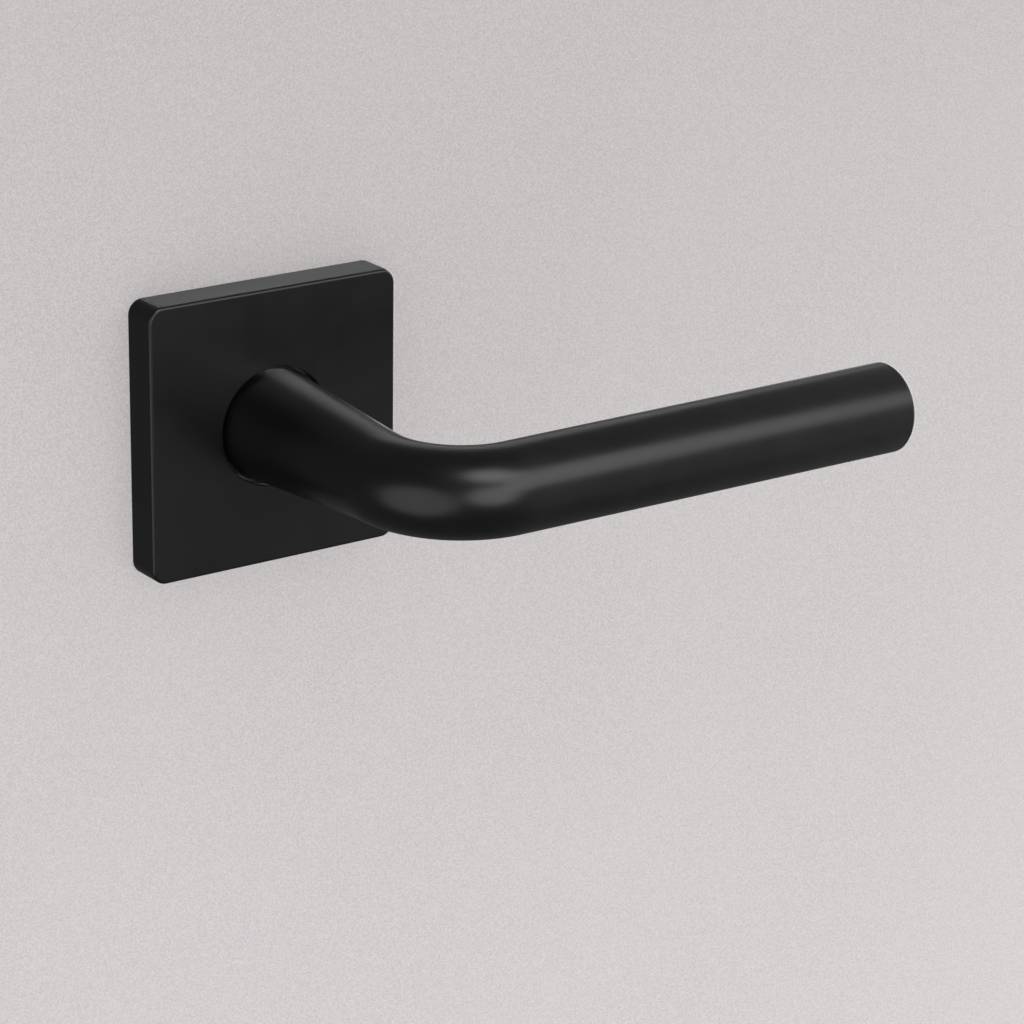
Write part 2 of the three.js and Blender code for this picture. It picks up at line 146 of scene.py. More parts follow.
# ---- points ----
def circle(radius, y, sides=64, x=0.0, z=0.0, half=None):
    """A ring about the Y axis, moved to (x, z). half flattens its top and bottom at that height."""
    angles = np.arange(sides) * TURN / sides
    rise = radius * np.sin(angles)
    if half is not None:
        rise = np.clip(rise, -half, half)
    return np.column_stack([x + radius * np.cos(angles), np.full(sides, float(y)), z + rise])


def polygon(inner_radius, y, corners, sides=64, x=0.0):
    """A ring on a regular polygon, with as many points as a circle of the same sides."""
    angles = np.arange(sides) * TURN / sides
    wedge = TURN / corners
    reach = inner_radius / np.cos((angles + wedge / 2) % wedge - wedge / 2)
    return np.column_stack([x + reach * np.cos(angles), np.full(sides, float(y)), reach * np.sin(angles)])


def square(side, corner, y, steps=28, corner_steps=10):
    """A ring on a square with rounded corners. Its points sit at the same places for every size."""
    half = side / 2
    spread = math.radians(41)
    edge = [(half, half * math.tan(a)) for a in np.linspace(-spread, spread, steps)]
    centre = half - corner
    bend = np.linspace(0, math.pi / 2, corner_steps + 2)
    edge += [(centre + corner * math.cos(a), centre + corner * math.sin(a)) for a in bend]
    ring = []
    for quarter in range(4):
        c, s = round(math.cos(quarter * math.pi / 2)), round(math.sin(quarter * math.pi / 2))
        ring += [(a * c - b * s, y, a * s + b * c) for a, b in edge]
    return np.array(ring, float)


def hole_in(template, radius, y):
    """A round hole's ring, with its points on the rays to the points of the ring round it."""
    angles = np.arctan2(template[:, 2], template[:, 0])
    level = np.full(len(angles), float(y))
    return np.column_stack([radius * np.cos(angles), level, radius * np.sin(angles)])


def rounding(radius, steps=5):
    """Pairs (across, along) that lead round a quarter circle from a face to the side next to it."""
    angles = np.linspace(0, math.pi / 2, steps + 1)
    return [(radius * (1 - math.sin(a)), radius * (1 - math.cos(a))) for a in angles]


def arc(radius, start, end, steps, x=0.0, z=0.0):
    angles = np.linspace(start, end, steps)
    return [(x + radius * math.cos(a), z + radius * math.sin(a)) for a in angles]


def polar(radius, angle):
    return radius * math.cos(angle), radius * math.sin(angle)


# ---- meshes ----
def skin(rings, joined=False):
    """Points and faces over rings of equal length. The ends are capped, or joined to each other."""
    sides = len(rings[0])
    points = np.vstack(rings)
    faces = []
    for row in range(len(rings) if joined else len(rings) - 1):
        a = row * sides
        b = (row + 1) % len(rings) * sides
        for k in range(sides):
            following = (k + 1) % sides
            faces.append((a + k, a + following, b + following, b + k))
    if not joined:
        faces.append(tuple(range(sides)))
        faces.append(tuple(range(len(points) - sides, len(points))))
    return points, faces


def mesh_of(name, points, faces):
    mesh = bpy.data.meshes.new(name)
    mesh.from_pydata((np.asarray(points) * MM).tolist(), [], faces)
    return mesh


def piece(name, mesh, finish, edge=0.0, sharp=35, edge_steps=2):
    """A finished object: points merged, faces turned out, edges rounded and flat faces shaded flat."""
    work = bmesh.new()
    work.from_mesh(mesh)
    bmesh.ops.remove_doubles(work, verts=work.verts, dist=1e-7)
    bmesh.ops.dissolve_degenerate(work, edges=work.edges, dist=1e-8)
    bmesh.ops.recalc_face_normals(work, faces=work.faces)
    work.to_mesh(mesh)
    work.free()
    mesh.shade_smooth()
    mesh.set_sharp_from_angle(angle=math.radians(sharp))
    mesh.materials.clear()
    mesh.materials.append(finish)
    made = bpy.data.objects.new(name, mesh)
    bpy.context.scene.collection.objects.link(made)
    if edge:
        bevel = made.modifiers.new("edges", "BEVEL")
        bevel.width = edge * MM
        bevel.segments = edge_steps
        bevel.limit_method = "ANGLE"
        bevel.angle_limit = math.radians(40)
    weighted = made.modifiers.new("flat faces", "WEIGHTED_NORMAL")
    weighted.keep_sharp = not edge
    return made


def turned(name, profile, finish, sides=96, x=0.0, z=0.0, edge=0.0):
    """A body of revolution about Y from (radius, y) corners. It closes on itself or on its axis."""
    rings = [circle(max(radius, 0.0), y, sides, x, z) for radius, y in profile]
    joined = profile[0][0] > 0 and profile[-1][0] > 0
    points, faces = skin(rings, joined)
    return piece(name, mesh_of(name, points, faces), finish, edge)


def sheet_mesh(name, outlines, front, back):
    """A flat plate between front and back. The first outline is its rim and the others are holes."""
    work = bmesh.new()
    for outline in outlines:
        corners = [work.verts.new((x * MM, front * MM, z * MM)) for x, z in outline]
        for k, corner in enumerate(corners):
            work.edges.new((corner, corners[(k + 1) % len(corners)]))
    bmesh.ops.triangle_fill(work, edges=work.edges[:], use_beauty=True, normal=(0, OUTWARD_Y, 0))
    grown = bmesh.ops.extrude_face_region(work, geom=work.faces[:])
    moved = [g for g in grown["geom"] if isinstance(g, bmesh.types.BMVert)]
    bmesh.ops.translate(work, verts=moved, vec=(0, (back - front) * MM, 0))
    mesh = bpy.data.meshes.new(name)
    work.to_mesh(mesh)
    work.free()
    return mesh


def sheet(name, outlines, front, back, finish, edge=0.0):
    return piece(name, sheet_mesh(name, outlines, front, back), finish, edge)


def joined_meshes(name, parts):
    """Several (points, faces) as one mesh."""
    points, faces = [], []
    for part_points, part_faces in parts:
        start = len(points)
        points += [tuple(p) for p in part_points]
        faces += [tuple(start + k for k in face) for face in part_faces]
    return mesh_of(name, points, faces)


def outline_square(side, corner):
    return [(x, z) for x, _, z in square(side, corner, 0.0, steps=2, corner_steps=6)]


def part_of(body, made, *nodes, slot=None):
    """Rides on a body and stands for CAD nodes, which it hides. The slot argument is not used."""
    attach(made, body)
    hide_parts(*nodes)
    return made


# ---- finishes ----
class Finish:
    """A material whose nodes are added one by one. Patterns use object coordinates, in metres."""

    def __init__(self, name):
        self.material = bpy.data.materials.new(name)
        self.material.use_nodes = True
        self.tree = self.material.node_tree
        self.shader = self.tree.nodes["Principled BSDF"]
        self.place = self.add("ShaderNodeTexCoord").outputs["Object"]

    def add(self, kind, **settings):
        node = self.tree.nodes.new(kind)
        for name, value in settings.items():
            setattr(node, name, value)
        return node

    def link(self, source, target):
        self.tree.links.new(source, target)

    def stretched(self, x, y, z):
        """Object coordinates scaled along each axis, for marks that run one way."""
        mapping = self.add("ShaderNodeMapping")
        mapping.inputs["Scale"].default_value = (x, y, z)
        self.link(self.place, mapping.inputs["Vector"])
        return mapping.outputs["Vector"]

    def noise(self, size, detail=2.0, place=None):
        """Noise whose marks are about size millimetres across."""
        node = self.add("ShaderNodeTexNoise")
        node.inputs["Scale"].default_value = 1 / (size * MM)
        node.inputs["Detail"].default_value = detail
        self.link(place or self.place, node.inputs["Vector"])
        return node.outputs["Fac"]

    def spread(self, source, low, high):
        """The middle of a noise, stretched to run from low to high."""
        node = self.add("ShaderNodeMapRange")
        for name, value in (("From Min", 0.3), ("From Max", 0.7), ("To Min", low), ("To Max", high)):
            node.inputs[name].default_value = value
        self.link(source, node.inputs["Value"])
        return node.outputs["Result"]

    def between(self, factor, first, second):
        node = self.add("ShaderNodeMix", data_type="RGBA")
        for index, colour in ((6, first), (7, second)):
            if isinstance(colour, tuple):
                node.inputs[index].default_value = (*colour, 1)
            else:
                self.link(colour, node.inputs[index])
        self.link(factor, node.inputs[0])
        return node.outputs[2]

    def combined(self, operation, first, second):
        node = self.add("ShaderNodeMath", operation=operation)
        for index, value in enumerate((first, second)):
            if isinstance(value, (int, float)):
                node.inputs[index].default_value = value
            else:
                self.link(value, node.inputs[index])
        return node.outputs[0]

    def edges(self, radius):
        """1 along edges that are sharper than radius millimetres, and 0 on flatter faces."""
        bevel = self.add("ShaderNodeBevel", samples=4)
        bevel.inputs["Radius"].default_value = radius * MM
        true = self.add("ShaderNodeNewGeometry")
        dot = self.add("ShaderNodeVectorMath", operation="DOT_PRODUCT")
        self.link(bevel.outputs["Normal"], dot.inputs[0])
        self.link(true.outputs["Normal"], dot.inputs[1])
        mask = self.add("ShaderNodeMapRange")
        for name, value in (("From Min", 0.99), ("From Max", 0.85), ("To Min", 0.0), ("To Max", 1.0)):
            mask.inputs[name].default_value = value
        self.link(dot.outputs["Value"], mask.inputs["Value"])
        return mask.outputs["Result"]

    def bump(self, height, depth, strength=1.0, under=None):
        """A bump of depth millimetres, laid on top of another one if it is given."""
        node = self.add("ShaderNodeBump")
        node.inputs["Distance"].default_value = depth * MM
        node.inputs["Strength"].default_value = strength
        self.link(height, node.inputs["Height"])
        if under:
            self.link(under, node.inputs["Normal"])
        return node.outputs["Normal"]

    def set(self, **values):
        """Socket values by name, with _ for a space: numbers are set and outputs are linked."""
        for name, value in values.items():
            socket = self.shader.inputs[name.replace("_", " ")]
            if isinstance(value, bpy.types.NodeSocket):
                self.link(value, socket)
            else:
                socket.default_value = value
        return self.material


def black_coat(name):
    """Fine black powder coat: an even satin skin with a slight orange peel, a little worn on its edges."""
    dark, light, rough = (0.0035, 0.0035, 0.0037), (0.0065, 0.0065, 0.0066), 0.3
    finish = Finish(name)
    worn = finish.combined("MULTIPLY", finish.edges(0.35), finish.spread(finish.noise(1.4, 3), 0.2, 1.0))
    patches = finish.between(finish.spread(finish.noise(14, 3), 0, 1), dark, light)
    speckled = finish.between(finish.spread(finish.noise(0.35, 1), 0.0, 0.45), patches, light)
    colour = finish.between(finish.combined("MULTIPLY", worn, 0.35), speckled, (0.02, 0.02, 0.021))
    roughness = finish.spread(finish.noise(6, 4), rough - 0.02, rough + 0.02)
    peel = finish.bump(finish.noise(0.9, 1), 0.004, 0.35)
    grain = finish.bump(finish.noise(0.22, 2), 0.004, 0.3, under=peel)
    return finish.set(Base_Color=colour, Roughness=roughness, IOR=1.5, Normal=grain)


def zinc_plating(name, along):
    """Clear zinc plating: pale blue-grey metal with a faint yellow cast and fine marks along one axis."""
    finish = Finish(name)
    clouds = finish.spread(finish.noise(5, 4), 0, 1)
    cast = finish.between(clouds, (0.42, 0.435, 0.46), (0.48, 0.465, 0.43))
    stretch = [1.0 if axis == along else 14.0 for axis in "xyz"]
    streaks = finish.noise(2.5, 4, finish.stretched(*stretch))
    dulled = finish.between(finish.spread(streaks, 0.0, 0.35), cast, (0.28, 0.29, 0.305))
    worn = finish.combined("MULTIPLY", finish.edges(0.2), 0.6)
    colour = finish.between(worn, dulled, (0.58, 0.585, 0.59))
    roughness = finish.spread(streaks, 0.24, 0.4)
    marks = finish.bump(streaks, 0.006, 0.5)
    grain = finish.bump(finish.noise(0.12, 2), 0.002, 0.5, under=marks)
    return finish.set(Base_Color=colour, Metallic=1.0, Roughness=roughness, Normal=grain)


def spring_steel():
    """Oiled spring steel: dark grey with browner patches and brighter worn edges."""
    finish = Finish("oiled_spring_steel")
    clouds = finish.spread(finish.noise(1.8, 4), 0, 1)
    patches = finish.between(clouds, (0.2, 0.2, 0.21), (0.3, 0.27, 0.23))
    worn = finish.combined("MULTIPLY", finish.edges(0.12), 0.7)
    colour = finish.between(worn, patches, (0.5, 0.5, 0.5))
    roughness = finish.spread(finish.noise(0.8, 3), 0.22, 0.42)
    grain = finish.bump(finish.noise(0.1, 3), 0.002, 0.6)
    return finish.set(Base_Color=colour, Metallic=1.0, Roughness=roughness, Normal=grain)


def black_oxide():
    """Black oxide on steel: near black with a satin sheen, rubbed bright on its edges."""
    finish = Finish("black_oxide_steel")
    clouds = finish.spread(finish.noise(2, 3), 0, 1)
    patches = finish.between(clouds, (0.02, 0.02, 0.022), (0.05, 0.047, 0.045))
    worn = finish.combined("MULTIPLY", finish.edges(0.15), 0.5)
    colour = finish.between(worn, patches, (0.28, 0.28, 0.28))
    roughness = finish.spread(finish.noise(0.7, 3), 0.3, 0.46)
    grain = finish.bump(finish.noise(0.12, 2), 0.002, 0.5)
    return finish.set(Base_Color=colour, Metallic=0.7, Roughness=roughness, Normal=grain)


def moulded_nylon():
    """Black nylon with the fine spark-eroded texture of its mould."""
    finish = Finish("moulded_nylon")
    clouds = finish.spread(finish.noise(3, 2), 0, 1)
    colour = finish.between(clouds, (0.006, 0.006, 0.007), (0.014, 0.014, 0.015))
    roughness = finish.spread(finish.noise(0.5, 3), 0.48, 0.62)
    grain = finish.bump(finish.noise(0.15, 2), 0.01, 0.6)
    return finish.set(Base_Color=colour, Roughness=roughness, Normal=grain)


def cell_foam():
    """Dense closed-cell foam: dark and dull, pitted with small cells, with painted shade that darkens each
    pit.
    """
    finish = Finish("closed_cell_foam")
    cells = finish.add("ShaderNodeTexVoronoi")
    cells.inputs["Scale"].default_value = 1 / (0.45 * MM)
    finish.link(finish.place, cells.inputs["Vector"])
    # Painted shade: the colour darkens towards each cell's middle, where the bump sinks into a pit.
    painted_pit_shade = finish.spread(cells.outputs["Distance"], 0, 1)
    tone = finish.between(painted_pit_shade, (0.012, 0.012, 0.012), (0.045, 0.045, 0.046))
    colour = finish.between(finish.spread(finish.noise(6, 3), 0, 0.5), tone, (0.03, 0.03, 0.031))
    height = finish.combined("ADD", cells.outputs["Distance"], finish.noise(0.2, 2))
    return finish.set(Base_Color=colour, Roughness=0.92, Normal=finish.bump(height, 0.05, 0.8))


def make_finishes():
    return {
        "lever": black_coat("black_powder_coat_lever"),
        "rose": black_coat("black_powder_coat_rose"),
        "zinc": zinc_plating("zinc_plating", "x"),
        "drawn_zinc": zinc_plating("drawn_zinc_plating", "y"),
        "spring": spring_steel(),
        "oxide": black_oxide(),
        "nylon": moulded_nylon(),
        "foam": cell_foam(),
    }


# ---- the rose ----
def rose_cover(finish):
    """One shell, open towards the door, with a rounded front edge and a softened hole."""
    front, back = COVER_LOW.y, COVER_HIGH.y
    floor = front + ROSE_WALL
    inner_side, inner_corner = ROSE_SIDE - 2 * ROSE_WALL, ROSE_CORNER - ROSE_WALL
    rings = []
    for across, along in rounding(ROSE_FILLET, 8):
        rings.append(square(ROSE_SIDE - 2 * across, ROSE_CORNER - across, front + along))
    for across, along in reversed(rounding(ROSE_BACK_EDGE, 3)):
        rings.append(square(ROSE_SIDE - 2 * across, ROSE_CORNER - across, back - along))
    rings += [square(inner_side, inner_corner, back), square(inner_side, inner_corner, floor)]
    rings.append(hole_in(rings[0], HOLE_R, floor))
    for across, along in reversed(rounding(HOLE_EDGE)):
        rings.append(hole_in(rings[0], HOLE_R + across, front + along))
    return piece("rose_cover_shell", mesh_of("rose_cover", *skin(rings, joined=True)), finish)


def neck_bush(finish):
    inner = JOURNAL_R + SLIDE_FIT
    step, flange_r = CAN_LOW.y - HOLE_FIT, NECK_BUSH_HIGH.x
    profile = [
        (inner, NECK_BUSH_LOW.y), (flange_r, NECK_BUSH_LOW.y), (flange_r, step), (NECK_BUSH_R, step),
        (NECK_BUSH_R, NECK_BUSH_HIGH.y), (inner, NECK_BUSH_HIGH.y),
    ]
    return turned("neck_bush_sleeve", profile, finish, sides=128, edge=0.08)


def rear_bush(finish):
    inner = JOURNAL_R + SLIDE_FIT
    flange, flange_r = BASE_HIGH.y + SPARE, REAR_BUSH_HIGH.x
    profile = [
        (inner, REAR_BUSH_LOW.y), (REAR_BUSH_R, REAR_BUSH_LOW.y), (REAR_BUSH_R, flange),
        (flange_r, flange), (flange_r, REAR_BUSH_HIGH.y), (inner, REAR_BUSH_HIGH.y),
    ]
    return turned("rear_bush_sleeve", profile, finish, sides=128, edge=0.08)


# ---- the base plate and what is fixed to it ----
def pin_place(low, high):
    return (low.x + high.x) / 2, (low.z + high.z) / 2


def base_plate(finish):
    holes = [arc(REAR_BUSH_R + SPARE, 0, TURN, 97)[:-1]]
    holes += [arc(LUG_NECK_R + SPARE, 0, TURN, 41, x=side * BOLT_AT)[:-1] for side in (-1, 1)]
    for x in (-SCREW_AT, SCREW_AT):
        holes += [arc(SCREW_HOLE_R, 0, TURN, 33, x, z)[:-1] for z in (-SCREW_AT, SCREW_AT)]
    for low, high in ((STOP_PIN_LOW, STOP_PIN_HIGH), (ANCHOR_PIN_LOW, ANCHOR_PIN_HIGH)):
        bore = (high.x - low.x) / 2 + HOLE_FIT
        holes.append(arc(bore, 0, TURN, 17, *pin_place(low, high))[:-1])
    for angle in RIVET_ANGLES:
        holes.append(arc(RIVET_SHANK_R + HOLE_FIT, 0, TURN, 21, *polar(RIVET_AT, angle))[:-1])
    rim = outline_square(BASE_HIGH.x - BASE_LOW.x, PLATE_CORNER)
    return sheet("base_plate_steel", [rim, *holes], BASE_LOW.y, BASE_HIGH.y, finish, edge=0.1)


def gasket(finish):
    """A die-cut sheet. Its middle hole runs into the two lug holes."""
    centre_r, lug_r = GASKET_HOLE_R, LUG_HIGH.z + 0.3
    meet = math.acos((centre_r**2 + BOLT_AT**2 - lug_r**2) / (2 * centre_r * BOLT_AT))
    x, z = polar(centre_r, meet)
    reach = math.atan2(z, x - BOLT_AT)
    hole = arc(centre_r, meet, math.pi - meet, 60)[1:-1]
    hole += arc(lug_r, math.pi - reach, math.pi + reach, 30, x=-BOLT_AT)
    hole += arc(centre_r, math.pi + meet, TURN - meet, 60)[1:-1]
    hole += arc(lug_r, -reach, reach, 30, x=BOLT_AT)
    rim = outline_square(GASKET_HIGH.x - GASKET_LOW.x, PLATE_CORNER)
    return sheet("door_gasket_foam", [rim, hole], GASKET_LOW.y, GASKET_HIGH.y, finish)


def bolt_lug(name, side, finish):
    bore, bevel, lug_r = 2.15, 0.4, LUG_HIGH.z
    shoulder = BASE_HIGH.y + SPARE
    profile = [
        (bore, LUG_LOW.y), (LUG_NECK_R, LUG_LOW.y), (LUG_NECK_R, shoulder), (lug_r, shoulder),
        (lug_r, LUG_HIGH.y - bevel), (lug_r - bevel, LUG_HIGH.y), (bore, LUG_HIGH.y),
    ]
    return turned(name, profile, finish, sides=64, x=side * BOLT_AT, edge=0.08)


def thread_rings(radius, pitch, start, end, sides, x=0.0):
    """Rings whose radius rises and falls along a helix, fading out at both ends."""
    depth = 0.55 * pitch
    angles = np.arange(sides) * TURN / sides
    rings = []
    for y in np.arange(start, end, pitch / 9):
        wave = np.clip(1.5 * np.cos(TURN * (y - start) / pitch - angles), -1, 1)
        fade = min(1.0, (y - start) / pitch, (end - y) / pitch)
        reach = radius - depth * fade * (1 - wave) / 2 - depth * (1 - fade) / 2
        across, rise = x + reach * np.cos(angles), reach * np.sin(angles)
        rings.append(np.column_stack([across, np.full(sides, y), rise]))
    return rings


def through_bolt(name, side, finish):
    """A socket head screw: hexagon recess, rounded head, plain shank and a rolled thread."""
    x, sides = side * BOLT_AT, 48
    front, back = BOLT_LOW.y, BOLT_HIGH.y
    head_r = (BOLT_HIGH.x - BOLT_LOW.x) / 2
    seat = BASE_LOW.y - SPARE
    shank_r, socket = 1.72, 1.5
    thread_r, pitch, thread_start = 1.95, 0.7, 11.5
    rings = [polygon(socket, front + 1.1, 6, sides, x), polygon(socket, front + 0.1, 6, sides, x)]
    rings += [circle(socket * 1.25, front, sides, x)]
    rings += [circle(head_r - across, front + along, sides, x) for across, along in rounding(0.4)]
    rings += [circle(head_r, seat, sides, x), circle(shank_r, seat, sides, x)]
    rings += [circle(shank_r, thread_start, sides, x)]
    rings += thread_rings(thread_r, pitch, thread_start + 0.3, back - 0.5, sides, x)
    rings += [circle(1.3, back, sides, x)]
    return piece(name, mesh_of(name, *skin(rings)), finish, sharp=45)


def can_rivet(name, angle, finish):
    x, z = polar(RIVET_AT, angle)
    low, high = extent(name)
    head_r = (high.x - low.x) / 2
    seat, dome_height, point = BASE_LOW.y - EAR_THICK - 2 * SPARE, 0.8, 0.15
    steps = np.linspace(0, math.pi / 2, 9)
    dome = [(head_r * math.sin(a), seat - dome_height * math.cos(a)) for a in steps]
    shank = [(RIVET_SHANK_R, seat), (RIVET_SHANK_R, high.y - point), (RIVET_SHANK_R - point, high.y)]
    profile = [*dome, *shank, (0.0, high.y)]
    return turned(name + "_domed", profile, finish, sides=40, x=x, z=z)


def pin(name, low, high, finish):
    radius, point = (high.x - low.x) / 2, 0.12
    front, back = low.y, high.y
    profile = [(0, front), (radius - point, front), (radius, front + point), (radius, back - point)]
    profile += [(radius - point, back), (0, back)]
    x, z = pin_place(low, high)
    return turned(name, profile, finish, sides=32, x=x, z=z)


def spring_can(finish):
    """A drawn cup with three ears that the rivets go through."""
    sides, hole_r = 128, NECK_BUSH_R + SPARE
    rim, front = CAN_HIGH.y, CAN_LOW.y
    inner_r, floor = CAN_R - CAN_SHEET, front + CAN_SHEET
    outside = [circle(CAN_R - across, front + along, sides) for across, along in rounding(0.8)]
    inside = [circle(inner_r - across, floor + along, sides) for across, along in rounding(0.4)]
    rings = [circle(hole_r, front, sides), *outside, circle(CAN_R, rim, sides)]
    rings += [circle(inner_r, rim, sides), *reversed(inside), circle(hole_r, floor, sides)]
    parts = [skin(rings, joined=True)]
    bore_r, bevel, ear_front = RIVET_SHANK_R + HOLE_FIT, 0.1, rim - EAR_THICK
    profile = [(bore_r, ear_front), (EAR_R - bevel, ear_front), (EAR_R, ear_front + bevel)]
    profile += [(EAR_R, rim), (bore_r, rim)]
    for angle in RIVET_ANGLES:
        x, z = polar(RIVET_AT, angle)
        parts.append(skin([circle(radius, y, 40, x, z) for radius, y in profile], joined=True))
    return piece("spring_can_drawn", joined_meshes("spring_can", parts), finish)


def cover_clip(name, finish):
    """A bent strip: a foot on the base plate, then an arm whose bulge snaps against the cover's wall."""
    low, high = extent(name)
    side = 1 if high.x > 0 else -1
    start, foot = 21.0, BASE_LOW.y - SPARE
    middle = foot - CLIP_SHEET / 2
    path = [(start, middle), (24.55, middle), (24.85, foot - 0.5), (25.5, -3.4), (24.92, -5.0)]
    along = np.array(path)
    ahead = np.gradient(along, axis=0)
    ahead /= np.linalg.norm(ahead, axis=1)[:, None]
    across = np.column_stack([-ahead[:, 1], ahead[:, 0]]) * CLIP_SHEET / 2
    outline = np.vstack([along + across, (along - across)[::-1]])
    outline[:, 0] = np.clip(outline[:, 0], start, max(abs(low.x), abs(high.x)))
    outline[:, 1] = np.minimum(outline[:, 1], foot)
    x, y = side * outline[:, 0], outline[:, 1]
    rings = [np.column_stack([x, y, np.full(len(outline), z)]) for z in (low.z, high.z)]
    return piece(name + "_strip", mesh_of(name, *skin(rings)), finish, edge=0.06, sharp=50)


# ---- the return spring ----
def spring_path():
    """From the leg on the anchor pin, round the follower, to the tang in the follower's notch."""
    back, front = SPRING_HIGH.y - WIRE_R, SPRING_LOW.y + WIRE_R
    steps, quickness, leg_out, tang_in = 120, 18, 1.75, 1.6
    path = []
    for step in range(steps + 1):
        share = step / steps
        angle = math.pi - share * SPRING_TURNS * TURN
        leg = max(0.0, 1 - share * quickness) ** 1.5 * leg_out
        tang = max(0.0, 1 - (1 - share) * quickness) ** 1.5 * tang_in
        x, z = polar(SPRING_R + leg - tang, angle)
        path.append((x, back + share * (front - back), z))
    return path


def wire(name, path, radius, finish):
    """A round wire along a path, with rounded ends."""
    curve = bpy.data.curves.new(name, "CURVE")
    curve.dimensions = "3D"
    curve.bevel_depth = radius * MM
    curve.bevel_resolution = 5
    curve.use_fill_caps = True
    spline = curve.splines.new("POLY")
    spline.points.add(len(path) - 1)
    for point, place in zip(spline.points, path):
        point.co = (*[c * MM for c in place], 1)
    holder = bpy.data.objects.new(name, curve)
    bpy.context.scene.collection.objects.link(holder)
    solid = holder.evaluated_get(bpy.context.evaluated_depsgraph_get())
    mesh = bpy.data.meshes.new_from_object(solid)
    bpy.data.objects.remove(holder)
    bpy.data.curves.remove(curve)
    return piece(name, mesh, finish, sharp=60)


# ---- the parts that turn ----
def bar_ring(x, y, turn, radius, sides=128, half=None):
    """A ring of the bar: turn is how far the bar has bent from the neck's direction to the grip's."""
    ring = circle(radius, 0.0, sides, half=half)
    across, rise = ring[:, 0], ring[:, 2]
    return np.column_stack([x + across * math.cos(turn), y + across * math.sin(turn), rise])


def neck_radius(share):
    """The neck's taper: straight, then easing into the bar's own radius before the bend."""
    ease = 0.1
    fall = math.hypot(1 - share, ease) - ease
    return BEND_BAR_R + (NECK_R - BEND_BAR_R) * fall / (math.hypot(1, ease) - ease)


def journal_rings():
    """From the bottom of the spindle's socket out to the shoulder behind the neck."""
    sides = 128
    end, step_y = LEVER_HIGH.y, FOLLOWER_LOW.y - 0.1
    groove_front, groove_back = CIRCLIP_LOW.y - 0.1, CIRCLIP_HIGH.y + 0.1
    keyed = {"sides": sides, "half": FLAT_HALF}
    return [
        polygon(SOCKET_HALF, SOCKET_END, 4, sides),
        polygon(SOCKET_HALF, end - 0.3, 4, sides),
        polygon(SOCKET_HALF + 0.3, end, 4, sides),
        circle(JOURNAL_R - JOURNAL_CHAMFER, end, **keyed),
        circle(JOURNAL_R, end - JOURNAL_CHAMFER, **keyed),
        circle(JOURNAL_R, groove_back, **keyed),
        circle(GROOVE_R, groove_back, sides),
        circle(GROOVE_R, groove_front, sides),
        circle(JOURNAL_R, groove_front, **keyed),
        circle(JOURNAL_R, step_y, **keyed),
        circle(JOURNAL_R, step_y, sides),
        circle(JOURNAL_R, SHOULDER_Y, sides),
    ]


def bar_rings():
    """The neck, the bend and the grip, to the flat end."""
    rings = []
    bend_start = -(GRIP_OUT - BEND_R)
    for share in np.linspace(0, 1, 40):
        rings.append(bar_ring(0, SHOULDER_Y + share * (bend_start - SHOULDER_Y), 0, neck_radius(share)))
    for turn in np.linspace(0, math.pi / 2, 37)[1:]:
        x, y = BEND_R * (1 - math.cos(turn)), bend_start - BEND_R * math.sin(turn)
        rings.append(bar_ring(x, y, turn, BEND_BAR_R))
    grip_end = GRIP_END_X - END_FILLET
    for share in np.linspace(0, 1, 24)[1:]:
        radius = BEND_BAR_R + share * (GRIP_END_R - BEND_BAR_R)
        rings.append(bar_ring(BEND_R + share * (grip_end - BEND_R), -GRIP_OUT, math.pi / 2, radius))
    for across, along in list(reversed(rounding(END_FILLET, 10)))[1:]:
        rings.append(bar_ring(GRIP_END_X - along, -GRIP_OUT, math.pi / 2, GRIP_END_R - across))
    return rings


def cut_away(made, cutter):
    """Takes a solid out of a piece and removes the solid."""
    cut = made.modifiers.new("hole", "BOOLEAN")
    cut.object = cutter
    cut.solver = "EXACT"
    solid = made.evaluated_get(bpy.context.evaluated_depsgraph_get())
    mesh = bpy.data.meshes.new_from_object(solid)
    made.modifiers.clear()
    bpy.data.objects.remove(cutter)
    old = made.data
    finish = old.materials[0]
    name = made.name
    bpy.data.objects.remove(made)
    bpy.data.meshes.remove(old)
    return piece(name, mesh, finish)


def upright(mesh, y):
    """Stands a body of revolution about Y on its end: its front points down, at that y."""
    mesh.transform(Matrix.Translation((0, y * MM, 0)) @ Matrix.Rotation(math.pi / 2, 4, "X"))
    return mesh


def lever(finish):
    rings = journal_rings() + bar_rings()
    bar = piece("lever_bar", mesh_of("lever", *skin(rings)), finish)
    tool_rings = [circle(GRUB_HOLE_R, y, 48) for y in (-NECK_R - 1, -SOCKET_HALF + 0.5)]
    tool = piece("tool", upright(mesh_of("tool", *skin(tool_rings)), GRUB_Y), finish)
    return cut_away(bar, tool)


def grub_screw(finish):
    """A cup point set screw with a hexagon socket. Its foot bears on the spindle."""
    bottom, top, sides = GRUB_LOW.z, GRUB_HIGH.z, 48
    socket, pitch = 1.25, 0.8
    rings = [polygon(socket, bottom + 2, 6, sides), polygon(socket, bottom + 0.1, 6, sides)]
    rings += [circle(1.55, bottom, sides), circle(2.1, bottom, sides)]
    rings += thread_rings(GRUB_R, pitch, bottom + 0.3, top - 0.9, sides)
    rings += [circle(1.5, top, sides), circle(1.2, top, sides), circle(0.3, top - 0.5, sides)]
    mesh = upright(mesh_of("grub_screw", *skin(rings)), GRUB_Y)
    return piece("grub_screw_cup_point", mesh, finish, sharp=45)


def spindle(finish):
    """A drawn square bar with chamfered ends."""
    side = SPINDLE_HIGH.x - SPINDLE_LOW.x
    front, back, chamfer = SPINDLE_LOW.y, SPINDLE_HIGH.y, 0.5
    small = side - 2 * chamfer
    ends = [(small, front), (side, front + chamfer), (side, back - chamfer), (small, back)]
    rings = [square(s, 0.35, y, steps=6, corner_steps=4) for s, y in ends]
    return piece("spindle_bar", mesh_of("spindle", *skin(rings)), finish)


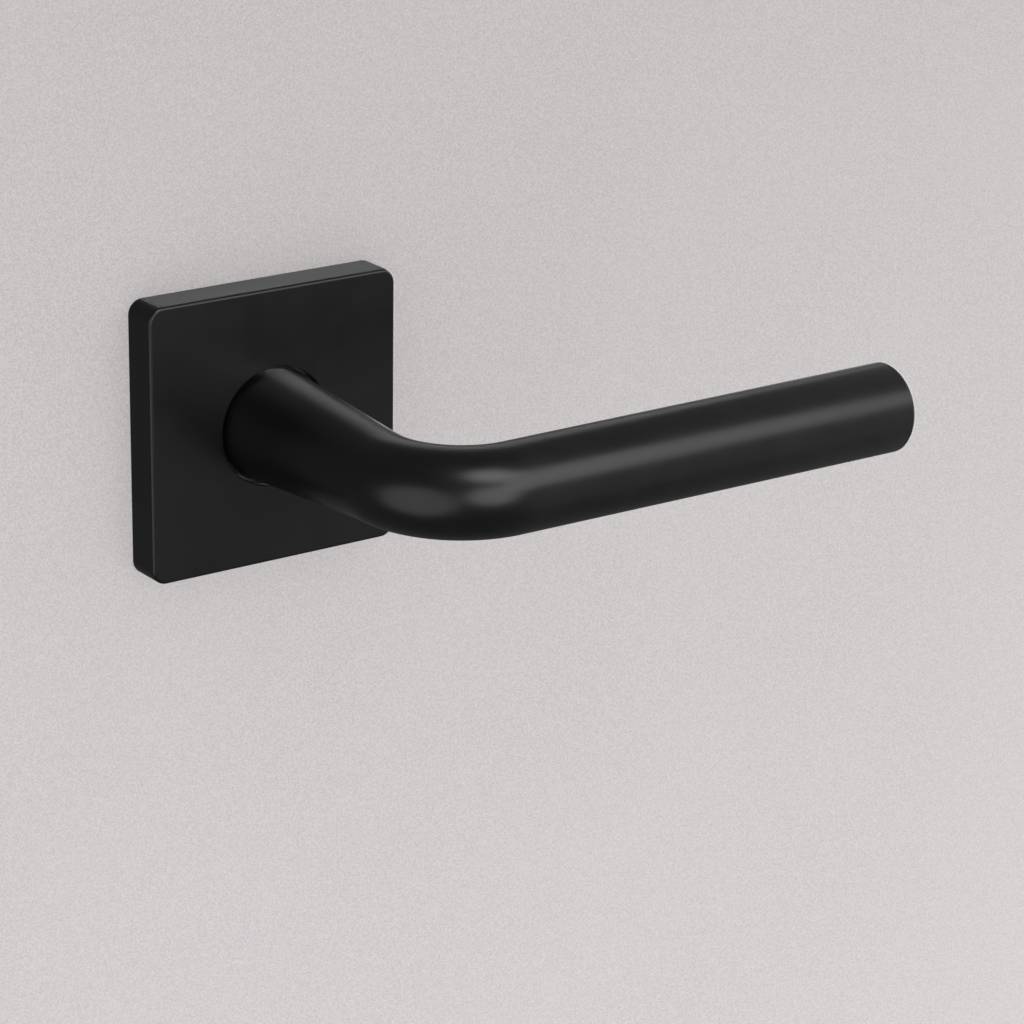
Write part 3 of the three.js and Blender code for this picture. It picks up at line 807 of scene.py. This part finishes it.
def follower(finish):
    """A disc on the journal's flats, with an arc slot for the stop pin and a notch for the spring."""
    outer_r, bore_r = FOLLOWER_HIGH.x, JOURNAL_R + SLIDE_FIT
    half = FLAT_HALF + SLIDE_FIT
    edge = math.asin(NOTCH_HALF / outer_r)
    rim = arc(outer_r, -math.pi / 2 + edge, 1.5 * math.pi - edge, 128)
    rim += [(-NOTCH_HALF, -NOTCH_FLOOR), (NOTCH_HALF, -NOTCH_FLOOR)]
    flat = math.asin(half / bore_r)
    bore = arc(bore_r, -flat, flat, 50) + arc(bore_r, math.pi - flat, math.pi + flat, 50)
    pin_r = (STOP_PIN_HIGH.x - STOP_PIN_LOW.x) / 2
    at_r = pin_place(STOP_PIN_LOW, STOP_PIN_HIGH)[1]
    slot_half, slack = pin_r + 0.15, 0.1 / at_r
    start, end = math.pi / 2 - slack, math.pi * 0.75 + slack
    slot = arc(at_r + slot_half, start, end, 30)
    slot += arc(slot_half, end, end + math.pi, 12, *polar(at_r, end))[1:-1]
    slot += arc(at_r - slot_half, end, start, 30)
    slot += arc(slot_half, start + math.pi, start + TURN, 12, *polar(at_r, start))[1:-1]
    front, back = FOLLOWER_LOW.y, FOLLOWER_HIGH.y
    return sheet("follower_disc", [rim, bore, slot], front, back, finish, edge=0.08)


def wave_washer(finish):
    """A thin ring whose faces rise and fall three times round it."""
    sides, waves, height = 144, 3, 0.12
    inner, outer = WASHER_HOLE_R, WASHER_HIGH.x
    front, back = WASHER_LOW.y + height, WASHER_HIGH.y - height
    rings = []
    for radius, y in ((inner, front), (outer, front), (outer, back), (inner, back)):
        ring = circle(radius, y, sides)
        ring[:, 1] += height * np.cos(waves * np.arange(sides) * TURN / sides)
        rings.append(ring)
    return piece("wave_washer_ring", mesh_of("wave_washer", *skin(rings, joined=True)), finish, edge=0.05)


def circlip(finish):
    """An external retaining ring: wider at its back, with two eyes beside the gap."""
    start, end = -math.pi / 2 + CIRCLIP_GAP_HALF, 1.5 * math.pi - CIRCLIP_GAP_HALF
    eye_span = 0.14
    rim = arc(CIRCLIP_R, start + eye_span, end - eye_span, 90)
    for eye, sign in ((end, 1), (start, -1)):
        x, z = polar(CIRCLIP_R, eye)
        turn = [eye - sign * math.pi / 2 + sign * a for a in np.linspace(0.25, math.pi, 16)]
        lobe = [(x + CIRCLIP_EYE_R * math.cos(a), z + CIRCLIP_EYE_R * math.sin(a)) for a in turn]
        rim += lobe + arc(GROOVE_R + 0.15, end, start, 80) if sign == 1 else lobe[::-1]
    eyes = [polar(CIRCLIP_R, eye) for eye in (start, end)]
    holes = [arc(CIRCLIP_EYE_HOLE_R, 0, TURN, 21, *eye)[:-1] for eye in eyes]
    return sheet("circlip_ring", [rim, *holes], CIRCLIP_LOW.y, CIRCLIP_HIGH.y, finish, edge=0.06)


# ---- the assembly ----
def build_rose(finishes):
    part_of("rose", rose_cover(finishes["rose"]), "rose_cover", slot="rose_coat")
    part_of("rose", neck_bush(finishes["nylon"]), "neck_bush", slot="nylon")
    part_of("rose", rear_bush(finishes["nylon"]), "rear_bush", slot="nylon")
    part_of("rose", base_plate(finishes["zinc"]), "base_plate", slot="zinc_steel")
    part_of("rose", gasket(finishes["foam"]), "door_gasket", slot="foam")
    part_of("rose", spring_can(finishes["zinc"]), "spring_can", slot="zinc_steel")
    for word, side in (("left", -1), ("right", 1)):
        lug = bolt_lug(f"bolt_lug_{word}_sleeve", side, finishes["zinc"])
        part_of("rose", lug, f"bolt_lug_{word}", slot="zinc_steel")
        bolt = through_bolt(f"through_bolt_{word}_threaded", side, finishes["drawn_zinc"])
        part_of("rose", bolt, f"through_bolt_{word}", slot="zinc_steel")
        for level in ("upper", "lower"):
            node = f"cover_clip_{word}_{level}"
            part_of("rose", cover_clip(node, finishes["spring"]), node, slot="spring_steel")
    for index, angle in enumerate(RIVET_ANGLES):
        node = f"can_rivet_{index + 1}"
        part_of("rose", can_rivet(node, angle, finishes["zinc"]), node, slot="zinc_steel")
    stop = pin("stop_pin_ground", STOP_PIN_LOW, STOP_PIN_HIGH, finishes["spring"])
    part_of("rose", stop, "stop_pin", slot="spring_steel")
    anchor = pin("spring_anchor_pin_ground", ANCHOR_PIN_LOW, ANCHOR_PIN_HIGH, finishes["spring"])
    part_of("rose", anchor, "spring_anchor_pin", slot="spring_steel")


def build_handle(finishes):
    part_of("handle", lever(finishes["lever"]), "lever", slot="lever_coat")
    part_of("handle", grub_screw(finishes["oxide"]), "grub_screw", slot="black_steel")
    part_of("handle", spindle(finishes["drawn_zinc"]), "spindle", slot="zinc_steel")
    part_of("handle", follower(finishes["zinc"]), "follower", slot="zinc_steel")
    part_of("handle", wave_washer(finishes["spring"]), "wave_washer", slot="spring_steel")
    part_of("handle", circlip(finishes["oxide"]), "circlip", slot="spring_steel")


def build_spring(finishes):
    """In the object the spring's leg stays with the rose and its tang goes round with the follower; here
    the wire is made in place and rides on neither body.
    """
    coil = wire("return_spring_wire", spring_path(), WIRE_R, finishes["spring"])
    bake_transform(coil)
    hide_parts("return_spring")


# ---- the stage ----
# The stage is in metres, apart from the size of the wall's grain. The colours are what the camera sees.
WALL_X = (-0.26, 0.34)
WALL_Z = (-0.2, 0.2)
WALL_Y = 0.0001
WALL_GRAIN = 0.32
WALL_CLOUDS = 0.2
WALL_DARK = (0.53, 0.5, 0.503)
WALL_LIGHT = (0.675, 0.64, 0.643)
# Painted light: the wall's glow grows paler towards the floor and changes a little along X.
WALL_PAINTED_LIGHT_FALL = 0.65
WALL_PAINTED_LIGHT_DRIFT = 0.02
# Painted shade: how much of the wall's glow ambient occlusion takes away near the handle, and how far it
# reaches.
WALL_SHADE = 0.45
WALL_SHADE_REACH = 0.2
FLOOR_Z = -0.24
FLOOR_HALF = 6.0
SQUARE_SIGNS = ((-1, -1), (1, -1), (1, 1), (-1, 1))
WORLD_STRENGTH = 0.11
WORLD_TINT = (1.0, 0.985, 0.985)
LIGHT_DISTANCE = 2.0
LIGHT_AIM = Vector((0.03, -0.03, 0))
# Light from behind, which the rose would shade, so it reaches the neck through the rose.
SHADOWLESS = ("rear",)
# Azimuth, elevation and half angle in degrees, then radiance.
SOFT_BOXES = {
    "key": (28, 30, 20, 2.2),
    "low": (34, -14, 22, 0.14),
    "top": (0, 55, 15, 3.5),
    "front": (-6, 8, 21, 2.3),
    "side": (96, -2, 38, 3.2),
    "left": (-68, -8, 32, 1.0),
    "rear_side": (128, -12, 15, 1.6),
    "rear": (147, 24, 13, 0.5),
}


def flat(name, corners, finish, faces_way, window=None):
    """A flat stage sheet that faces one way, open where the window is."""
    work = bmesh.new()
    for loop in filter(None, (corners, window)):
        points = [work.verts.new(p) for p in loop]
        for k, point in enumerate(points):
            work.edges.new((point, points[(k + 1) % len(points)]))
    bmesh.ops.triangle_fill(work, edges=work.edges[:], use_beauty=True)
    work.normal_update()
    turned_away = [face for face in work.faces if face.normal.dot(faces_way) < 0]
    bmesh.ops.reverse_faces(work, faces=turned_away)
    mesh = bpy.data.meshes.new(name)
    work.to_mesh(mesh)
    work.free()
    mesh.materials.append(finish)
    made = bpy.data.objects.new(name, mesh)
    bpy.context.scene.collection.objects.link(made)
    return made


def seen_only(made):
    """Shows a stage sheet to the camera, and keeps it out of the object's light and reflections."""
    made.visible_diffuse = False
    made.visible_glossy = False
    made.visible_transmission = False
    made.visible_shadow = False


def self_lit(finish, colour):
    """Shows a stage sheet in its own colour from its front, and lets the camera see through its back."""
    glow = finish.add("ShaderNodeEmission")
    finish.link(colour, glow.inputs["Color"])
    clear = finish.add("ShaderNodeBsdfTransparent")
    side = finish.add("ShaderNodeNewGeometry")
    choose = finish.add("ShaderNodeMixShader")
    finish.link(side.outputs["Backfacing"], choose.inputs[0])
    finish.link(glow.outputs[0], choose.inputs[1])
    finish.link(clear.outputs[0], choose.inputs[2])
    finish.link(choose.outputs[0], finish.tree.nodes["Material Output"].inputs["Surface"])
    return finish.material


def plaster():
    """Pale fine plaster, with painted light that makes it paler towards the floor and a little painted
    shade close to the handle.
    """
    finish = Finish("pale_plaster")
    fine = finish.spread(finish.noise(WALL_GRAIN, 1), 0.0, 1.0)
    soft = finish.spread(finish.noise(60, 3), 0.0, WALL_CLOUDS)
    grained = finish.between(fine, WALL_DARK, WALL_LIGHT)
    clouded = finish.between(soft, grained, WALL_LIGHT)
    axes = finish.add("ShaderNodeSeparateXYZ")
    finish.link(finish.place, axes.inputs[0])
    # Painted light: the glow's level rises towards the floor and drifts along X.
    lower = finish.combined("MULTIPLY", axes.outputs["Z"], -WALL_PAINTED_LIGHT_FALL)
    across = finish.combined("MULTIPLY", axes.outputs["X"], WALL_PAINTED_LIGHT_DRIFT)
    # Painted shade: ambient occlusion darkens the glow close to the handle.
    shaded = finish.add("ShaderNodeAmbientOcclusion", samples=12)
    shaded.inputs["Distance"].default_value = WALL_SHADE_REACH
    open_share = finish.combined("MULTIPLY", shaded.outputs["AO"], WALL_SHADE)
    level = finish.combined("ADD", finish.combined("ADD", lower, across), 1 - WALL_SHADE)
    level = finish.combined("ADD", level, open_share)
    scaled = finish.add("ShaderNodeVectorMath", operation="SCALE")
    finish.link(clouded, scaled.inputs[0])
    finish.link(level, scaled.inputs["Scale"])
    return self_lit(finish, scaled.outputs[0])


def plain_tone(name, dark, light):
    """An even tone with slow clouds in it, for the floor and for what is behind everything."""
    finish = Finish(name)
    return self_lit(finish, finish.between(finish.spread(finish.noise(400, 2), 0, 1), dark, light))


def backdrop():
    """A pale dome round the stage, seen from inside."""
    work = bmesh.new()
    bmesh.ops.create_uvsphere(work, u_segments=64, v_segments=32, radius=FLOOR_HALF)
    bmesh.ops.reverse_faces(work, faces=work.faces)
    mesh = bpy.data.meshes.new("backdrop")
    work.to_mesh(mesh)
    work.free()
    mesh.shade_smooth()
    mesh.materials.append(plain_tone("pale_backdrop", (0.61, 0.585, 0.588), (0.62, 0.595, 0.598)))
    dome = bpy.data.objects.new("backdrop", mesh)
    bpy.context.scene.collection.objects.link(dome)
    seen_only(dome)


def build_stage():
    (x0, x1), (z0, z1) = WALL_X, WALL_Z
    half = (ROSE_SIDE / 2 - 1) * MM
    corners = [(x0, WALL_Y, z0), (x1, WALL_Y, z0), (x1, WALL_Y, z1), (x0, WALL_Y, z1)]
    window = [(half * a, WALL_Y, half * b) for a, b in SQUARE_SIGNS]
    seen_only(flat("wall", corners, plaster(), Vector((0, OUTWARD_Y, 0)), window))
    ground = [(FLOOR_HALF * a, FLOOR_HALF * b, FLOOR_Z) for a, b in SQUARE_SIGNS]
    floor_tone = plain_tone("pale_floor", (0.57, 0.545, 0.548), (0.585, 0.56, 0.563))
    seen_only(flat("floor", ground, floor_tone, Vector((0, 0, 1))))
    backdrop()


def soft_light(name, azimuth, elevation, half_angle, radiance):
    """A round soft box that faces the object and looks half_angle degrees wide either way from it.

    Azimuth 0 is in front of the rose and 90 is along the grip.
    """
    a, e = math.radians(azimuth), math.radians(elevation)
    way = Vector((math.sin(a) * math.cos(e), -math.cos(a) * math.cos(e), math.sin(e)))
    radius = LIGHT_DISTANCE * math.tan(math.radians(half_angle))
    light = bpy.data.lights.new(name, "AREA")
    light.shape = "DISK"
    light.size = 2 * radius
    light.energy = radiance * math.pi * math.pi * radius**2
    lamp = bpy.data.objects.new(name, light)
    lamp.location = LIGHT_AIM + way * LIGHT_DISTANCE
    lamp.rotation_mode = "QUATERNION"
    lamp.rotation_quaternion = way.to_track_quat("Z", "Y")
    lamp.visible_camera = False
    bpy.context.scene.collection.objects.link(lamp)
    if name in SHADOWLESS:
        light.use_shadow = False
        light.cycles.use_multiple_importance_sampling = False


def build_light():
    world = bpy.data.worlds.new("studio")
    world.use_nodes = True
    background = world.node_tree.nodes["Background"]
    background.inputs["Color"].default_value = (*WORLD_TINT, 1)
    background.inputs["Strength"].default_value = WORLD_STRENGTH
    bpy.context.scene.world = world
    for name, box in SOFT_BOXES.items():
        soft_light(name, *box)


# ---- the camera ----
CAMERA_AT = Vector((-0.3648, -0.5970, 0.2264))
CAMERA_AZIMUTH = 35.55
CAMERA_ELEVATION = 19.38
CAMERA_ROLL = 0.87
CAMERA_LENS = 133.0
CAMERA_SENSOR = 36.0


def build_camera():
    data = bpy.data.cameras.new("camera")
    data.lens = CAMERA_LENS
    data.sensor_width = CAMERA_SENSOR
    data.clip_start, data.clip_end = 0.01, 30
    camera = bpy.data.objects.new("camera", data)
    a, e = math.radians(CAMERA_AZIMUTH), math.radians(CAMERA_ELEVATION)
    back = Vector((-math.sin(a) * math.cos(e), -math.cos(a) * math.cos(e), math.sin(e)))
    level = Vector((math.cos(a), -math.sin(a), 0))
    straight = Matrix((level, back.cross(level), back)).transposed()
    turned_by = straight @ Matrix.Rotation(math.radians(CAMERA_ROLL), 3, "Z")
    camera.matrix_world = Matrix.Translation(CAMERA_AT) @ turned_by.to_4x4()
    bpy.context.scene.collection.objects.link(camera)
    bpy.context.scene.camera = camera


build_camera()
finishes = make_finishes()
build_rose(finishes)
build_handle(finishes)
build_spring(finishes)
build_stage()
build_light()
bpy.context.scene.view_settings.view_transform = "Standard"
